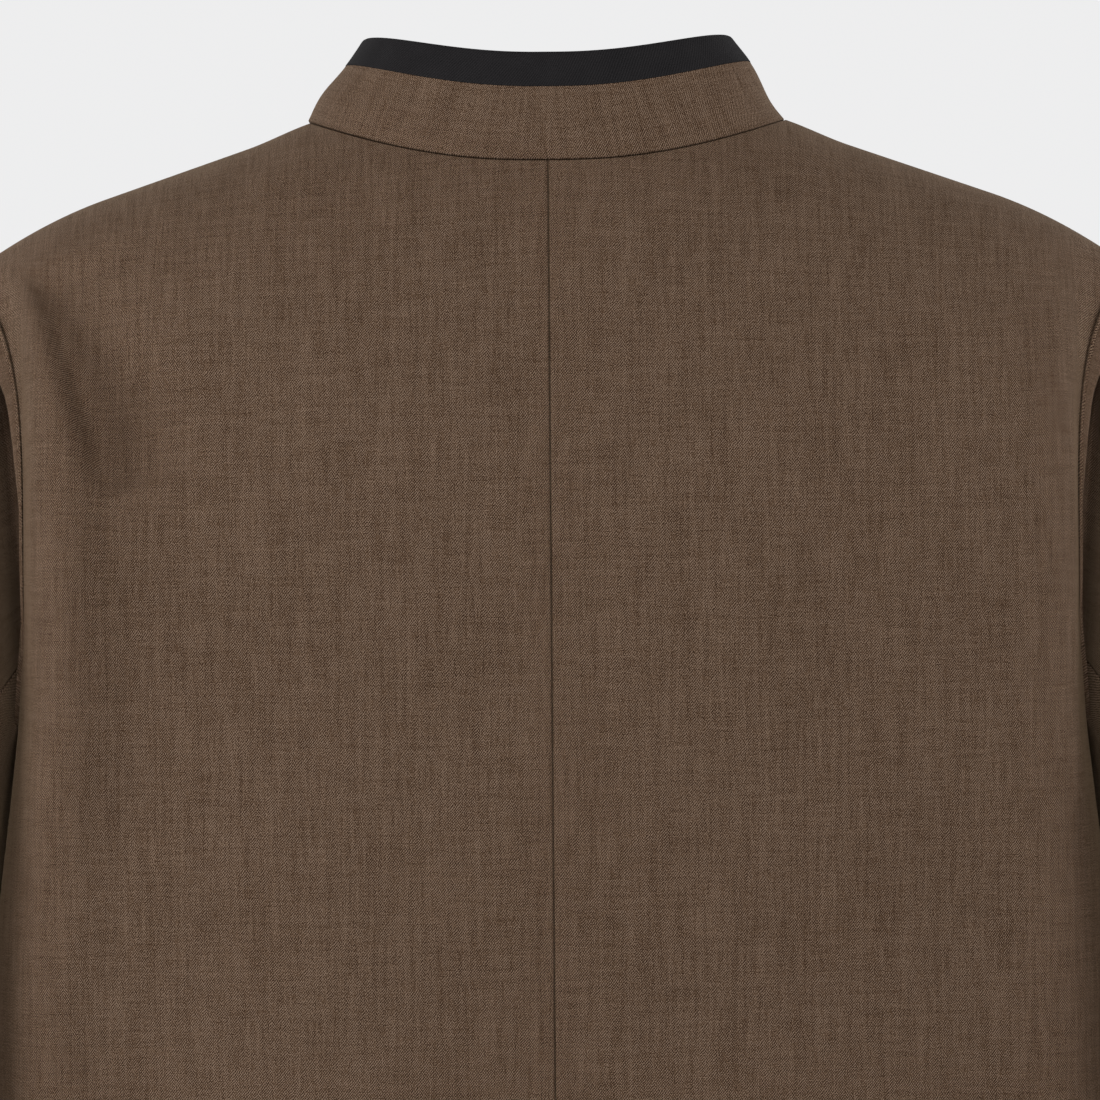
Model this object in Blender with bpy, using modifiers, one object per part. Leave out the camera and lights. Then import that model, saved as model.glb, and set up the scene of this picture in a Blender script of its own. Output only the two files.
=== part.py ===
"""Mandarin collar jacket, filled out as it is worn, in metres with +Z up.

The front faces -Y and the wearer's left is +X. The origin lies midway between the two side neck
points, where the wearer's shoulders carry the jacket.
"""

from collections import namedtuple
from math import acos, pi, radians

import bmesh
import bpy
import numpy as np
from mathutils import Vector

# Cloth and seams
CLOTH = 0.0018
COLLAR_CLOTH = 0.0030
BINDING_CLOTH = 0.0010
SEAM_GAP = 0.0003

# Neck and shoulders
NECK_HALF = 0.0972
NECK_BACK = 0.0614
NECK_FRONT = 0.070
NECK_SQUARE = 2.25
SHOULDER_HALF = 0.236
SHOULDER_SLOPE = 0.345
SHOULDER_ROUND_FROM = 0.18
SHOULDER_ROUND = 3.4
SHOULDER_SPREAD = 0.12
CHEST_LEAN = 0.6
CHEST_LEAN_REACH = 0.8

# Heights of the body, measured from the side neck points
BLADE = -0.19
UNDERARM = -0.25
HEM = -0.755

# How far the armhole reaches behind and before the shoulder line
ARMHOLE_BACK = 0.0565
ARMHOLE_FRONT = 0.068

# The left front laps over the right one
OVERLAP = 0.018
OVERLAP_SEARCH = 0.25
LAP_CLEARANCE = 0.0008
TUCK_FROM = 0.045
TUCK_TO = 0.022

# Collar: the stand and the binding that wraps its upper edge
COLLAR_TOP_HALF = 0.0756
COLLAR_TOP_BACK = 0.0513
COLLAR_TOP_FRONT = 0.0608
COLLAR_RISE_BACK = 0.0427
COLLAR_RISE_SIDE = 0.0320
COLLAR_RISE_FRONT = 0.0390
COLLAR_END_GAP = 0.0012
COLLAR_LIFT = 0.0005
BINDING_SHARE = 0.30
BINDING_CLEARANCE = 0.0003
BINDING_REBATE = 0.0010
BINDING_ROUND = 0.6

# Sleeves: they leave the armhole outward and soon hang straight down, close beside the body
SLEEVE_CLEARANCE = 0.0022
SLEEVE_INNER_SQUARE = 3.2
LEAVE_SHOULDER = (0.81, 0.0, -0.59)
LEAVE_BLADE = (0.90, 0.0, -0.44)
LEAVE_UNDERARM = (0.30, 0.0, -0.95)
HANG = (0.06, -0.02, -1.0)
HINDARM_SEAM = 131.0
FOREARM_SEAM = 232.0

# Buttons down the centre front
BUTTON_COUNT = 5
BUTTON_RADIUS = 0.010
BUTTON_THICK = 0.0030
BUTTON_RECESS = 0.0007
BUTTON_DISH = 0.0072
BUTTON_RIM = 0.0078
BUTTON_CROWN = 0.0092
BUTTON_WAIST = 0.0018
BUTTON_FOOT = 0.0088
BUTTON_TOP = -0.125
BUTTON_PITCH = 0.098
BUTTON_LIFT = 0.0006
BUTTON_STEPS = 24

# How finely the cloth is divided
NECK_COLUMNS = 8
SHOULDER_COLUMNS = 7
BODY_ROWS = 11
ARMPIT_ROWS = 4
YOKE_ROWS = 9
CAP_ROWS = (0.0, 0.03, 0.07, 0.115, 0.19, 0.30, 0.44, 0.60, 0.79, 1.0)
ARM_ROWS = 11
COLLAR_ROWS = 4
RING_SAMPLES = 400
NUDGE = 1e-4
SMOOTH_ANGLE = 75.0
SCREW_MERGE = 0.00005

# Drape dies away near the seams, as shares of a panel's width and of a sleeve's length
FOLD_FADE_CENTRE = 0.08
FOLD_FADE_EDGE = 0.05
FOLD_FADE_CAP = 0.15
FOLD_FADE_CUFF = 0.10
FOLD_TAPER = 0.7

# Folds push out to the back and front, and only by this share to the side
FOLD_SIDEWAYS = 0.05


Level = namedtuple("Level", "height half_width back_depth front_depth back_square front_square")
LEVELS = (
    Level(-0.190, 0.2148, 0.1090, 0.1220, 4.0, 2.6),
    Level(-0.240, 0.2152, 0.1090, 0.1225, 3.9, 2.6),
    Level(-0.270, 0.2186, 0.1080, 0.1230, 3.7, 2.6),
    Level(-0.330, 0.2258, 0.1050, 0.1225, 3.4, 2.6),
    Level(-0.430, 0.2300, 0.1010, 0.1210, 3.0, 2.6),
    Level(-0.530, 0.2330, 0.1020, 0.1210, 2.9, 2.6),
    Level(-0.640, 0.2355, 0.1070, 0.1230, 2.9, 2.6),
    Level(-0.755, 0.2375, 0.1110, 0.1240, 2.9, 2.6),
)

ArmSection = namedtuple("ArmSection", "height half_width half_depth centre_y tilt")
ARM_SECTIONS = (
    ArmSection(-0.305, 0.0450, 0.0725, 0.008, 0.00),
    ArmSection(-0.380, 0.0435, 0.0695, 0.012, 0.02),
    ArmSection(-0.460, 0.0425, 0.0655, 0.005, 0.08),
    ArmSection(-0.560, 0.0405, 0.0600, -0.020, 0.16),
    ArmSection(-0.668, 0.0385, 0.0535, -0.053, 0.20),
)

# Drape of the body: each line runs down the cloth, across is measured from the centre line along it
BodyFold = namedtuple("BodyFold", "piece across height across_end height_end width depth")
BODY_FOLDS = (
    BodyFold("back_left", 0.2085, -0.050, 0.1755, -0.142, 0.013, -0.0090),
    BodyFold("back_left", 0.1775, -0.085, 0.1745, -0.270, 0.017, -0.0080),
    BodyFold("back_left", 0.2120, -0.050, 0.2085, -0.290, 0.012, 0.0085),
    BodyFold("back_left", 0.095, -0.330, 0.120, -0.740, 0.034, 0.0040),
    BodyFold("back_right", 0.190, -0.110, 0.202, -0.290, 0.017, -0.0045),
    BodyFold("back_right", 0.2145, -0.075, 0.218, -0.230, 0.012, 0.0065),
    BodyFold("back_right", 0.090, -0.380, 0.105, -0.740, 0.036, 0.0035),
    BodyFold("front_left", 0.165, -0.120, 0.190, -0.330, 0.022, -0.0050),
    BodyFold("front_left", 0.120, -0.420, 0.150, -0.740, 0.034, 0.0045),
    BodyFold("front_right", 0.160, -0.130, 0.188, -0.340, 0.022, -0.0045),
    BodyFold("front_right", 0.125, -0.400, 0.140, -0.740, 0.034, 0.0045),
)

# The fold between sleeve and body: past a rolled lip the cloth turns in, then comes round the arm.
# Turn goes as for the sleeves' drape below: the fold grows from the first to the second turn and
# dies away from the third to the fourth, while its lip narrows. The rest are lengths along the cloth.
SleeveTuck = namedtuple("SleeveTuck", "grow full ease end lip lip_low wall back_from back_to shift_y")
SLEEVE_TUCKS = (
    SleeveTuck(22.0, 70.0, 104.0, 165.0, 0.0060, 0.0015, 0.011, 0.018, 0.048, -0.034),
    SleeveTuck(320.0, 285.0, 278.0, 234.0, 0.0060, 0.0040, 0.014, 0.022, 0.064, 0.018),
)

# Drape of the sleeves: turn goes from the shoulder (0) back to the underarm (180) and round the front
SleeveFold = namedtuple("SleeveFold", "turn run turn_end run_end width depth")
SLEEVE_FOLDS = (
    SleeveFold(60.0, 0.10, 95.0, 0.52, 0.016, -0.0050),
    SleeveFold(300.0, 0.50, 215.0, 0.64, 0.015, -0.0055),
    SleeveFold(310.0, 0.62, 225.0, 0.72, 0.014, -0.0045),
    SleeveFold(20.0, 0.58, 110.0, 0.74, 0.020, 0.0040),
    SleeveFold(330.0, 0.16, 290.0, 0.46, 0.018, 0.0045),
)

# Materials
Finish = namedtuple("Finish", "name colour roughness")
BROWN = Finish("brown_twill", (0.112, 0.071, 0.046, 1.0), 0.85)
BLACK = Finish("black_twill", (0.018, 0.017, 0.018, 1.0), 0.80)
HORN = Finish("horn", (0.060, 0.036, 0.022, 1.0), 0.35)


def clear_scene():
    for old in list(bpy.data.objects):
        bpy.data.objects.remove(old, do_unlink=True)


def finish_material(finish):
    material = bpy.data.materials.new(finish.name)
    material.use_nodes = True
    shader = material.node_tree.nodes["Principled BSDF"]
    shader.inputs["Base Color"].default_value = finish.colour
    shader.inputs["Roughness"].default_value = finish.roughness
    shader.inputs["Metallic"].default_value = 0.0
    material.diffuse_color = finish.colour
    return material


def smooth_row(rows, at):
    """A table's row at a height between its rows, on a smooth curve through them."""
    table = np.array(rows)
    place = table[:, 0]
    slope = np.gradient(table, place, axis=0)
    i = int(np.clip(np.searchsorted(-place, -at) - 1, 0, len(place) - 2))
    span = place[i + 1] - place[i]
    t = (at - place[i]) / span
    values = (
        (1 + 2 * t) * (1 - t) ** 2 * table[i]
        + t * (1 - t) ** 2 * span * slope[i]
        + t * t * (3 - 2 * t) * table[i + 1]
        - t * t * (1 - t) * span * slope[i + 1]
    )
    return type(rows[0])(*values)


def smoothstep(value, low, high):
    t = np.clip((value - low) / (high - low), 0.0, 1.0)
    return t * t * (3 - 2 * t)


def unit(vectors):
    return vectors / np.linalg.norm(vectors, axis=-1, keepdims=True)


def ring_quarter(side, height, share):
    """x and y along a rounded quarter ring of the torso, and the length of cloth in it.

    The share runs from 0 at the centre line to 1 at the side line or, higher up, the armhole.
    """
    level = smooth_row(LEVELS, height)
    depth = level.back_depth if side == "back" else level.front_depth
    square = level.back_square if side == "back" else level.front_square
    edge_angle = acos((armhole_depth(side, height) / depth) ** (square / 2))
    angle = np.linspace(0.0, edge_angle, RING_SAMPLES)
    x = level.half_width * np.sin(angle) ** (2 / square)
    y = depth * np.abs(np.cos(angle)) ** (2 / square)
    run = np.concatenate([[0.0], np.cumsum(np.hypot(np.diff(x), np.diff(y)))])
    place = np.abs(share) * run[-1]
    return np.interp(place, run, x), np.interp(place, run, y), run[-1]


def armhole_depth(side, height):
    """How far the cloth's edge lies from the side line: none below the underarm, then round up."""
    reach = ARMHOLE_BACK if side == "back" else ARMHOLE_FRONT
    below = (BLADE - height) / (BLADE - UNDERARM)
    return reach * max(0.0, 1.0 - below * below) ** 0.5


def shoulder_line(share):
    """x of a column where it crosses the shoulder line."""
    return SHOULDER_HALF * share * (1.0 + SHOULDER_SPREAD * (1.0 - share))


def neck_share():
    """The share of a row, from the centre line out, that ends at the neck."""
    spread = 1.0 + SHOULDER_SPREAD
    part = 4 * SHOULDER_SPREAD * NECK_HALF / SHOULDER_HALF
    return (spread - (spread * spread - part) ** 0.5) / (2 * SHOULDER_SPREAD)


def ridge_height(x):
    """Height of the shoulder line, which runs on under the collar as a low crown."""
    crown = SHOULDER_SLOPE * (NECK_HALF**2 - x**2) / (2 * NECK_HALF)
    slope = -SHOULDER_SLOPE * (x - NECK_HALF)
    drop = SHOULDER_ROUND * np.maximum(x - SHOULDER_ROUND_FROM, 0.0) ** 2
    return np.where(x < NECK_HALF, crown, slope) - drop


def over_shoulder(side, v, u):
    """A row between the shoulder blades (v 0) and the neck and shoulder seams (v 1)."""
    neck_end = neck_share()
    round_neck = np.minimum(u / neck_end, 1.0) * pi / 2
    neck_power = 2 / NECK_SQUARE
    seam_share = np.where(u < neck_end, neck_end * np.sin(round_neck) ** neck_power, u)
    share = u + (seam_share - u) * smoothstep(v, 0.0, 1.0)
    x, y, _ = ring_quarter(side, BLADE, share)

    blade = smooth_row(LEVELS, BLADE)
    neck_depth = NECK_BACK / blade.back_depth if side == "back" else NECK_FRONT / blade.front_depth
    lean = 0.0 if side == "back" else CHEST_LEAN
    power = 1.0 + lean * (1.0 - smoothstep(share, 0.0, CHEST_LEAN_REACH))
    seam_depth = neck_depth * np.abs(np.cos(round_neck)) ** neck_power
    turn = v * np.arccos(seam_depth ** (1 / power))
    lift = smoothstep(1 - np.cos(turn), 0.0, 1.0)
    top_x = shoulder_line(share)
    return (
        x + (top_x - x) * lift,
        y * np.abs(np.cos(turn)) ** power,
        BLADE + (ridge_height(top_x) - BLADE) * np.sin(turn) ** power,
    )


def row_height(v):
    return BLADE + min(v, 0.0) * (BLADE - HEM)


def torso_row(side, v, u):
    """One row of a half torso: u is 0 at the centre line and 1 at the outer edge.

    v is -1 at the hem, 0 at the shoulder blades and 1 at the neck and shoulder seams.
    """
    if v > 0:
        x, y, z = over_shoulder(side, v, np.abs(u))
    else:
        x, y, _ = ring_quarter(side, row_height(v), u)
        z = np.full_like(x, row_height(v))
    return np.stack([np.sign(u) * x, y if side == "back" else -y, z], axis=-1)


def row_length(side, v):
    """Length of cloth from the centre line to the outer edge, at the blades for rows above them."""
    return ring_quarter(side, row_height(v), np.array([1.0]))[2]


def row_stations():
    """The v of each row: even from hem to underarm, round the armhole's foot, then over the yoke."""
    underarm = (UNDERARM - BLADE) / (BLADE - HEM)
    body = np.linspace(-1.0, underarm, BODY_ROWS + 1)
    armpit = underarm * np.sin(np.linspace(pi / 2, 0.0, ARMPIT_ROWS + 1))
    yoke = np.linspace(0.0, 1.0, YOKE_ROWS + 1)
    return np.concatenate([body, armpit[1:], yoke[1:]])


def column_shares():
    neck = np.linspace(0.0, neck_share(), NECK_COLUMNS + 1)
    shoulder = np.linspace(neck_share(), 1.0, SHOULDER_COLUMNS + 1)
    return np.concatenate([neck, shoulder[1:]])


def overlap_share(v):
    """The u, beyond the centre front, of an edge that runs straight down the overlap."""
    u = np.linspace(0.0, OVERLAP_SEARCH, RING_SAMPLES)
    return np.interp(OVERLAP, torso_row("front", v, u)[:, 0], u)


def fold_height(folds, across, down):
    """Summed height of soft folds over a place on the cloth, given as two lengths."""
    total = np.zeros_like(across)
    for start, end, width, depth in folds:
        line = np.subtract(end, start)
        offset_a, offset_d = across - start[0], down - start[1]
        along = np.clip((offset_a * line[0] + offset_d * line[1]) / (line @ line), 0.0, 1.0)
        off = np.hypot(offset_a - along * line[0], offset_d - along * line[1])
        total += depth * np.exp(-((off / width) ** 2)) * np.sin(pi * along) ** FOLD_TAPER
    return total


def body_folds(piece, across, height):
    lines = [
        ((f.across, f.height), (f.across_end, f.height_end), f.width, f.depth)
        for f in BODY_FOLDS
        if f.piece == piece
    ]
    return fold_height(lines, across, height)


def torso_grid(piece, side, hand):
    """Outer points and outward normals of one torso panel, on its rows and columns."""
    points, normals = [], []
    for v in row_stations():
        u = column_shares()
        if side == "front":
            u = np.concatenate([[-overlap_share(v)], u])
        here = torso_row(side, v, u)
        step_u = np.minimum(u + NUDGE, 1.0)
        across = torso_row(side, v, step_u) - torso_row(side, v, step_u - 2 * NUDGE)
        step_v = min(v + NUDGE, 1.0)
        along = torso_row(side, step_v, u) - torso_row(side, step_v - 2 * NUDGE, u)
        normal = unit(np.cross(along, across) if side == "back" else np.cross(across, along))
        seam_fade = smoothstep(u, 0.0, FOLD_FADE_CENTRE) * smoothstep(1.0 - u, 0.0, FOLD_FADE_EDGE)
        fold = body_folds(piece, np.abs(u) * row_length(side, v), here[:, 2]) * seam_fade
        if piece == "front_right":
            fold -= (CLOTH + LAP_CLEARANCE) * (1.0 - smoothstep(here[:, 0], TUCK_TO, TUCK_FROM))
        push = unit(normal * (FOLD_SIDEWAYS, 1.0, 1.0))
        points.append(here + push * fold[:, None])
        normals.append(normal)
    mirror = np.array([hand, 1.0, 1.0])
    return np.array(points) * mirror, np.array(normals) * mirror


def armhole_edges(hand):
    """The armhole, from the shoulder tip down the back to the underarm and up the front again."""
    mirror = np.array([hand, 1.0, 1.0])
    stations = row_stations()[BODY_ROWS:]
    back = np.array([torso_row("back", v, np.array([1.0]))[0] for v in stations])
    front = np.array([torso_row("front", v, np.array([1.0]))[0] for v in stations])
    return np.concatenate([back[::-1], front[1:-1]]) * mirror


def arm_row(section, turns, hand):
    """A ring round the arm. The sleeve hangs beside the body, just clear of it and flattened there."""
    body = smooth_row(LEVELS, section.height).half_width
    centre_x = body + SLEEVE_CLEARANCE + section.half_width
    power = np.where(np.cos(turns) < 0.0, 2 / SLEEVE_INNER_SQUARE, 1.0)
    outward = np.sign(np.cos(turns)) * np.abs(np.cos(turns)) ** power
    fore_aft = section.half_depth * np.sign(np.sin(turns)) * np.abs(np.sin(turns)) ** power
    x = centre_x + section.half_width * outward
    return np.stack(
        [hand * x, section.centre_y + fore_aft, section.height - section.tilt * fore_aft], axis=-1
    )


def ramp(value, low, high):
    """A smooth step that may run either way."""
    return smoothstep((value - low) / (high - low), 0.0, 1.0)


def tuck_shift(degrees, run):
    """How far the sleeve is folded in beside the body, at a run of cloth from the armhole seam."""
    total = np.zeros_like(run)
    for fold in SLEEVE_TUCKS:
        share = ramp(degrees, fold.grow, fold.full) * (1.0 - ramp(degrees, fold.ease, fold.end))
        lip = fold.lip + (fold.lip_low - fold.lip) * ramp(degrees, fold.full, fold.end)
        profile = ramp(run, lip, lip + fold.wall) * (1.0 - ramp(run, fold.back_from, fold.back_to))
        total += fold.shift_y * share * profile
    return total


def sleeve_grid(hand):
    """Outer points and normals of the whole sleeve, a tube of rings from armhole to cuff."""
    edge = armhole_edges(hand)
    steps = np.linalg.norm(np.roll(edge, -1, axis=0) - edge, axis=1)
    half = 1 + ARMPIT_ROWS + YOKE_ROWS
    back_run = np.concatenate([[0.0], np.cumsum(steps[: half - 1])])
    front_run = np.cumsum(steps[half - 1 :])[:-1]
    turns = np.concatenate(
        [pi * back_run / back_run[-1], pi + pi * front_run / steps[half - 1 :].sum()]
    )
    degrees = np.degrees(turns)

    mirror = np.array([hand, 1.0, 1.0])
    top = np.clip(np.cos(turns), 0.0, 1.0)[:, None]
    low = np.clip(-np.cos(turns), 0.0, 1.0)[:, None]
    leave = top * LEAVE_SHOULDER + (1.0 - top - low) * LEAVE_BLADE + low * LEAVE_UNDERARM
    leave = unit(leave) * mirror
    bicep = arm_row(ARM_SECTIONS[0], turns, hand)
    reach = np.linalg.norm(bicep - edge, axis=1, keepdims=True)
    rings = []
    for t in CAP_ROWS:
        ring = (
            (1 + 2 * t) * (1 - t) ** 2 * edge
            + t * (1 - t) ** 2 * reach * leave
            + t * t * (3 - 2 * t) * bicep
            - t * t * (1 - t) * reach * np.array(HANG) * mirror
        )
        ring[:, 1] += tuck_shift(degrees, t * reach[:, 0])
        rings.append(ring)
    heights = np.linspace(ARM_SECTIONS[0].height, ARM_SECTIONS[-1].height, ARM_ROWS + 1)
    for height in heights[1:]:
        rings.append(arm_row(smooth_row(ARM_SECTIONS, height), turns, hand))
    points = np.array(rings)

    around = np.roll(points, -1, axis=1) - np.roll(points, 1, axis=1)
    normals = hand * unit(np.cross(np.gradient(points, axis=0), around))
    run = np.linspace(0.0, 1.0, len(points))[:, None] * np.ones_like(turns)
    girth = ARM_SECTIONS[0].half_depth
    length = SHOULDER_HALF + abs(ARM_SECTIONS[-1].height)
    lines = [
        (
            (radians(f.turn) * girth, f.run * length),
            (radians(f.turn_end) * girth, f.run_end * length),
            f.width,
            f.depth,
        )
        for f in SLEEVE_FOLDS
    ]
    fold = fold_height(lines, turns * girth + 0 * run, run * length)
    fold *= smoothstep(run, 0.0, FOLD_FADE_CAP) * smoothstep(1.0 - run, 0.0, FOLD_FADE_CUFF)
    return points + normals * fold[..., None], normals, degrees


def pull_in(points, gap):
    """Draws a panel's four edges in, so that it stays clear of the panel it is sewn to."""
    grid = points.copy()
    grid[:, 0] += gap / 2 * unit(points[:, 1] - points[:, 0])
    grid[:, -1] += gap / 2 * unit(points[:, -2] - points[:, -1])
    grid[0] += gap / 2 * unit(points[1] - points[0])
    grid[-1] += gap / 2 * unit(points[-2] - points[-1])
    return grid


def loft(name, layers, material, collection):
    """A solid lofted through layers of points: each layer is a loop round the solid's section.

    layers[i] holds the loop of section i. The two end sections are capped.
    """
    around = layers.shape[1]
    made = bmesh.new()
    verts = [[made.verts.new(p) for p in loop] for loop in layers]
    for here, beyond in zip(verts[:-1], verts[1:]):
        for j in range(around - 1):
            made.faces.new((here[j], here[j + 1], beyond[j + 1], beyond[j]))
        # The last wall starts at its outer corner, so that both sides of a seam are split alike
        made.faces.new((here[0], beyond[0], beyond[-1], here[-1]))
    for loop in (verts[0], verts[-1]):
        for j in range(around // 2 - 1):
            made.faces.new((loop[j], loop[j + 1], loop[-2 - j], loop[-1 - j]))
    bmesh.ops.recalc_face_normals(made, faces=made.faces)
    mesh = bpy.data.meshes.new(name)
    made.to_mesh(mesh)
    made.free()
    mesh.shade_smooth()
    mesh.set_sharp_from_angle(angle=radians(SMOOTH_ANGLE))
    mesh.materials.append(material)
    solid = bpy.data.objects.new(name, mesh)
    collection.objects.link(solid)
    return solid


def cloth_wall(name, points, normals, thick, material, collection):
    """A panel of cloth: its outer points, and the same points set in by the cloth's thickness."""
    outer = pull_in(points, SEAM_GAP)
    inner = outer - normals * thick
    layers = np.concatenate([outer, inner[:, ::-1]], axis=1)
    return loft(name, layers, material, collection)


def build_torso(material, collection):
    for hand, hand_name in ((1, "left"), (-1, "right")):
        for side in ("back", "front"):
            name = f"{side}_{hand_name}"
            points, normals = torso_grid(name, side, hand)
            cloth_wall(name, points, normals, CLOTH, material, collection)


def build_sleeves(material, collection):
    """Each sleeve has an upper and an under piece, sewn along the hindarm and the forearm."""
    for hand, hand_name in ((1, "left"), (-1, "right")):
        points, normals, turns = sleeve_grid(hand)
        hind = int(np.argmin(np.abs(turns - HINDARM_SEAM)))
        fore = int(np.argmin(np.abs(turns - FOREARM_SEAM)))
        under = np.arange(hind, fore + 1)
        upper = np.arange(fore, len(turns) + hind + 1) % len(turns)
        for piece, columns in (("upper", upper), ("under", under)):
            name = f"sleeve_{piece}_{hand_name}"
            cloth_wall(name, points[:, columns], normals[:, columns], CLOTH, material, collection)


def neck_seam():
    """The neck seam from the right end of the collar round the back to its left end."""
    shares = np.linspace(0.0, neck_share(), NECK_COLUMNS + 1)
    back = torso_row("back", 1.0, shares)
    front = torso_row("front", 1.0, shares)
    left = np.concatenate([back, front[-2::-1]])
    right = left[:0:-1] * np.array([-1.0, 1.0, 1.0])
    turn = np.linspace(0.0, pi, len(left))
    return np.concatenate([right, left]), np.concatenate([-turn[:0:-1], turn])


def collar_surface():
    """Outer points of the collar stand, rows from the neck seam up, and its outward normals."""
    base, turn = neck_seam()
    back_share = np.clip(np.cos(turn), 0.0, 1.0)
    front_share = np.clip(-np.cos(turn), 0.0, 1.0)
    side_share = 1.0 - back_share - front_share
    depth = COLLAR_TOP_BACK * back_share - COLLAR_TOP_FRONT * front_share
    rise = (
        COLLAR_RISE_BACK * back_share
        + COLLAR_RISE_SIDE * side_share
        + COLLAR_RISE_FRONT * front_share
    )
    top = np.stack([COLLAR_TOP_HALF * np.sin(turn), depth, base[:, 2] + rise], axis=-1)
    for row in (base, top):
        row[0] += COLLAR_END_GAP * unit(row[1] - row[0])
        row[-1] += COLLAR_END_GAP * unit(row[-2] - row[-1])
    base = base + COLLAR_LIFT * unit(top - base)
    border = 1.0 - BINDING_SHARE
    shares = np.concatenate([np.linspace(0.0, border, COLLAR_ROWS), [border, 1.0]])
    points = base + (top - base) * shares[:, None, None]
    around = np.gradient(points, axis=1)
    normals = unit(np.cross(np.broadcast_to(top - base, points.shape), around))
    return points, normals


def build_collar(brown, black, collection):
    """The stand, thinner along its top, and the binding that wraps the thin part."""
    points, normals = collar_surface()
    rebate = np.zeros(len(points))
    rebate[-2:] = BINDING_REBATE
    outer = points - normals * rebate[:, None, None]
    inner = points - normals * (COLLAR_CLOTH - rebate)[:, None, None]
    sections = np.concatenate([outer, inner[::-1]], axis=0)
    loft("collar", sections.transpose(1, 0, 2), brown, collection)

    # The binding is a channel folded over the stand's upper edge
    foot, top = outer[-2], outer[-1]
    normal = normals[-1]
    climb = unit(top - foot)
    foot = foot + climb * BINDING_CLEARANCE
    gap = BINDING_CLEARANCE
    thick = BINDING_CLOTH
    near, far = gap, gap + thick
    back_near = COLLAR_CLOTH - 2 * BINDING_REBATE + gap
    back_far = back_near + thick
    channel = np.stack(
        [
            foot + normal * far,
            top + normal * far + climb * (gap + thick * BINDING_ROUND),
            top + normal * near * 0.5 + climb * (gap + thick),
            top - normal * (back_near - gap * 0.5) + climb * (gap + thick),
            top - normal * back_far + climb * (gap + thick * BINDING_ROUND),
            foot - normal * back_far,
            foot - normal * back_near,
            top - normal * back_near + climb * gap * 0.5,
            top - normal * (back_near - gap) + climb * gap,
            top + climb * gap,
            top + normal * near + climb * gap * 0.5,
            foot + normal * near,
        ],
        axis=1,
    )
    loft("collar_binding", channel, black, collection)


def build_buttons(material, collection):
    """Five plain buttons on the left front, on the centre line."""
    profile = (
        (0.0, BUTTON_THICK - BUTTON_RECESS),
        (BUTTON_DISH, BUTTON_THICK - BUTTON_RECESS),
        (BUTTON_RIM, BUTTON_THICK),
        (BUTTON_CROWN, BUTTON_THICK),
        (BUTTON_RADIUS, BUTTON_WAIST),
        (BUTTON_FOOT, 0.0),
        (0.0, 0.0),
    )
    for index in range(BUTTON_COUNT):
        height = BUTTON_TOP - index * BUTTON_PITCH
        place, normal = front_place(height)
        mesh = bpy.data.meshes.new(f"button_{index + 1}")
        mesh.from_pydata(
            [(x, 0.0, z) for x, z in profile], [(i, i + 1) for i in range(len(profile) - 1)], []
        )
        mesh.materials.append(material)
        button = bpy.data.objects.new(mesh.name, mesh)
        turn = button.modifiers.new("Turn", "SCREW")
        turn.steps = turn.render_steps = BUTTON_STEPS
        turn.use_merge_vertices = True
        turn.merge_threshold = SCREW_MERGE
        turn.use_smooth_shade = False
        button.location = Vector(place + normal * BUTTON_LIFT)
        button.rotation_euler = Vector(normal).to_track_quat("Z", "Y").to_euler()
        collection.objects.link(button)


def front_place(height):
    """Point and outward normal of the centre front at a height."""
    stations = np.linspace(-1.0, 1.0, RING_SAMPLES)
    line = np.array([torso_row("front", v, np.array([0.0]))[0] for v in stations])
    slope = np.gradient(line, axis=0)
    place = np.array([np.interp(height, line[:, 2], line[:, k]) for k in range(3)])
    along = np.array([np.interp(height, line[:, 2], slope[:, k]) for k in range(3)])
    return place, unit(np.array([0.0, -along[2], along[1]]))


def main():
    clear_scene()
    jacket = bpy.data.collections.new("mandarin_collar_jacket")
    bpy.context.scene.collection.children.link(jacket)
    brown = finish_material(BROWN)
    black = finish_material(BLACK)
    horn = finish_material(HORN)
    build_torso(brown, jacket)
    build_sleeves(brown, jacket)
    build_collar(brown, black, jacket)
    build_buttons(horn, jacket)


main()
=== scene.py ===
"""Looks of the mandarin collar jacket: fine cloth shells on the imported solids.

Metres, +Z up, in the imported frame: the front faces -Y and the wearer's left is +X.
"""

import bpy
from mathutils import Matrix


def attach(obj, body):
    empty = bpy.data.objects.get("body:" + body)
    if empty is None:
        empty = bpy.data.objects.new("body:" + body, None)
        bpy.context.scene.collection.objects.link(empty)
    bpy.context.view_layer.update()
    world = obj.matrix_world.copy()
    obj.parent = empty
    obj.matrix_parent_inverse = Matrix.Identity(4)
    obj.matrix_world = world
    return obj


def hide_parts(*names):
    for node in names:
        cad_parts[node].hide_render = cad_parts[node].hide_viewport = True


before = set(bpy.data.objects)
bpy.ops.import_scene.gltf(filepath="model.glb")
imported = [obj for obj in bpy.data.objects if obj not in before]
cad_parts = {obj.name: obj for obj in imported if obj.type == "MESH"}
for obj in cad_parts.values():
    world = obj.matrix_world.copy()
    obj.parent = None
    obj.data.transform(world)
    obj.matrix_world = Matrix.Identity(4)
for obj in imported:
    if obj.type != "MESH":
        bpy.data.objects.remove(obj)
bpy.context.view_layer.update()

from collections import namedtuple
from math import acos, cos, pi, radians, sin

import bpy
import numpy as np
from mathutils import Matrix, Vector

HANDS = ((1, "left"), (-1, "right"))

# Cloth
CLOTH = 0.0018
COLLAR_CLOTH = 0.0030
BINDING_CLOTH = 0.0010

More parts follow.
